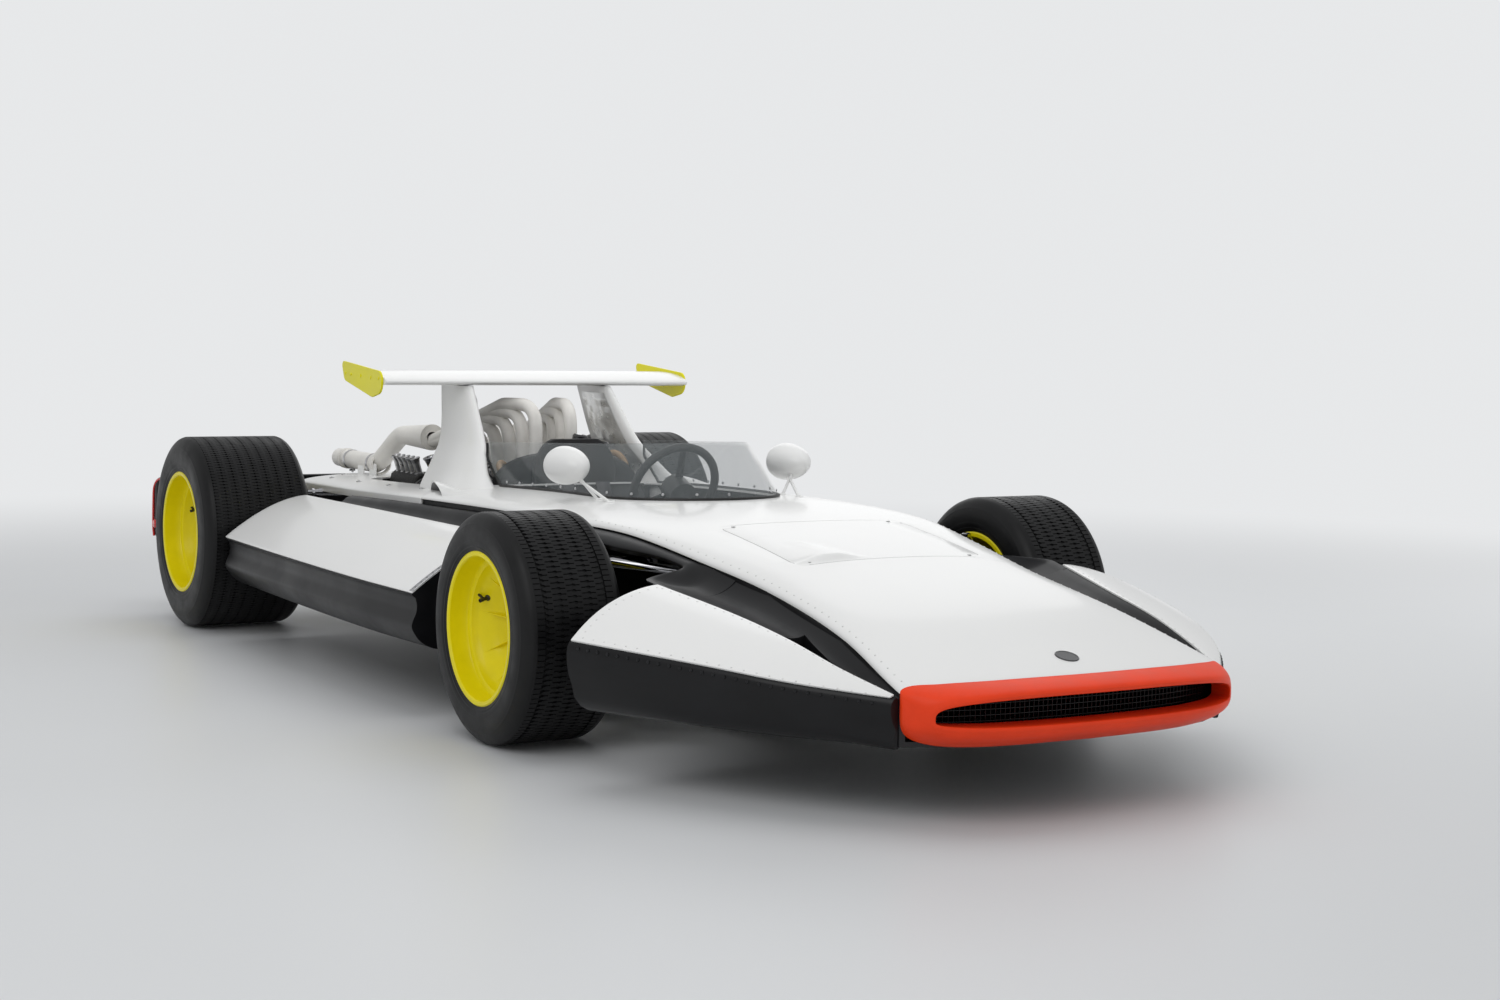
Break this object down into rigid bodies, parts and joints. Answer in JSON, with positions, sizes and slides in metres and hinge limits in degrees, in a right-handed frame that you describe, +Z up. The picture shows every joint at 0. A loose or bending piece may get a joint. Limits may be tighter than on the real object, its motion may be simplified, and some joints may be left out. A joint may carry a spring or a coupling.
{
  "type": "open wheel racing car",
  "caption": "Single-seat open wheel racing car with enclosed nose, wheel fairings, crushable side sponsons, roll-over pillars carrying a rear wing, and working steering.",
  "frame": {"origin": "on the floor, below the middle of the car's bounding box", "axes": "+X towards the nose along the car, +Y towards the driver's left, +Z up"},
  "size_m": [4.2958, 1.956, 0.9293],
  "materials": {
    "white_body": "gloss",
    "black_panel": "satin",
    "orange_nose": "satin",
    "yellow_paint": "gloss",
    "clear_screen": "gloss",
    "mirror_glass": "gloss",
    "black_trim": "satin",
    "bare_alloy": "satin",
    "chromed_steel": "gloss",
    "cast_engine": "cast",
    "polished_trumpet": "gloss",
    "ceramic_white": "satin",
    "radiator_core": "satin",
    "tyre_rubber": "satin",
    "brake_iron": "machined"
  },
  "bodies": {
    "chassis": {"tub": "black_panel", "body_shell": "white_body", "nose_ring": "orange_nose", "nose_duct": "black_panel", "radiator": "radiator_core", "front_fairings": "white_body", "front_bumpers": "black_panel", "sponson_tops": "white_body", "sponson_bodies": "black_panel", "engine_deck": "white_body", "roll_pillars": "white_body", "wing": "white_body", "wing_end_plates": "yellow_paint", "air_outlets": "white_body", "windscreen": "clear_screen", "mirror_shells": "white_body", "mirror_glasses": "mirror_glass", "seat": "black_trim", "head_restraint": "black_trim", "dash_beam": "black_panel", "rack_housing": "bare_alloy", "front_arms": "chromed_steel", "rear_uprights": "bare_alloy", "rear_links": "chromed_steel", "engine_block": "cast_engine", "gearbox": "cast_engine", "intake_trumpets": "polished_trumpet", "exhausts": "ceramic_white", "rear_bumper": "black_panel"},
    "steering_wheel": {"steering_wheel": "black_trim"},
    "steering_rack": {"rack_bar": "chromed_steel"},
    "knuckle_left": {"knuckle_left": "bare_alloy"},
    "tie_rod_left": {"tie_rod_left": "chromed_steel"},
    "front_wheel_left": {"front_rim_left": "yellow_paint", "front_tyre_left": "tyre_rubber", "front_disc_left": "brake_iron"},
    "rear_wheel_left": {"rear_rim_left": "yellow_paint", "rear_tyre_left": "tyre_rubber", "half_shaft_left": "bare_alloy"},
    "knuckle_right": {"knuckle_right": "bare_alloy"},
    "tie_rod_right": {"tie_rod_right": "chromed_steel"},
    "front_wheel_right": {"front_rim_right": "yellow_paint", "front_tyre_right": "tyre_rubber", "front_disc_right": "brake_iron"},
    "rear_wheel_right": {"rear_rim_right": "yellow_paint", "rear_tyre_right": "tyre_rubber", "half_shaft_right": "bare_alloy"}
  },
  "joints": [
    {"name": "steer_left", "type": "hinge", "parent": "chassis", "child": "knuckle_left", "pos_m": [0.77, 0.608, 0.296], "axis": [0, 0, 1], "range_deg": [-14, 14]},
    {"name": "tie_rod_turn_left", "type": "hinge", "parent": "knuckle_left", "child": "tie_rod_left", "pos_m": [0.88, 0.608, 0.315], "axis": [0, 0, 1], "range_deg": [-15, 15]},
    {"name": "front_wheel_spin_left", "type": "hinge", "parent": "knuckle_left", "child": "front_wheel_left", "pos_m": [0.77, 0.775, 0.296], "axis": [0, 1, 0], "continuous": true},
    {"name": "rear_wheel_spin_left", "type": "hinge", "parent": "chassis", "child": "rear_wheel_left", "pos_m": [-1.63, 0.79, 0.327], "axis": [0, 1, 0], "continuous": true},
    {"name": "steer_right", "type": "hinge", "parent": "chassis", "child": "knuckle_right", "pos_m": [0.77, -0.608, 0.296], "axis": [0, 0, 1], "range_deg": [-14, 14]},
    {"name": "tie_rod_turn_right", "type": "hinge", "parent": "knuckle_right", "child": "tie_rod_right", "pos_m": [0.88, -0.608, 0.315], "axis": [0, 0, 1], "range_deg": [-15, 15]},
    {"name": "front_wheel_spin_right", "type": "hinge", "parent": "knuckle_right", "child": "front_wheel_right", "pos_m": [0.77, -0.775, 0.296], "axis": [0, 1, 0], "continuous": true},
    {"name": "rear_wheel_spin_right", "type": "hinge", "parent": "chassis", "child": "rear_wheel_right", "pos_m": [-1.63, -0.79, 0.327], "axis": [0, 1, 0], "continuous": true},
    {"name": "steering_wheel_turn", "type": "hinge", "parent": "chassis", "child": "steering_wheel", "pos_m": [0.132, 0, 0.588], "axis": [-0.9135, 0, 0.4067], "range_deg": [-145, 145]},
    {"name": "rack_slide", "type": "slide", "parent": "chassis", "child": "steering_rack", "axis": [0, 1, 0], "range_m": [-0.03, 0.03]}
  ],
  "couplings": [
    {"joint": "steer_right", "follows": "steer_left", "ratio": 1},
    {"joint": "tie_rod_turn_left", "follows": "steer_left", "ratio": -1},
    {"joint": "tie_rod_turn_right", "follows": "steer_left", "ratio": -1},
    {"joint": "steering_wheel_turn", "follows": "steer_left", "ratio": 10},
    {"joint": "rack_slide", "follows": "steer_left", "m_per_rad": 0.11}
  ]
}
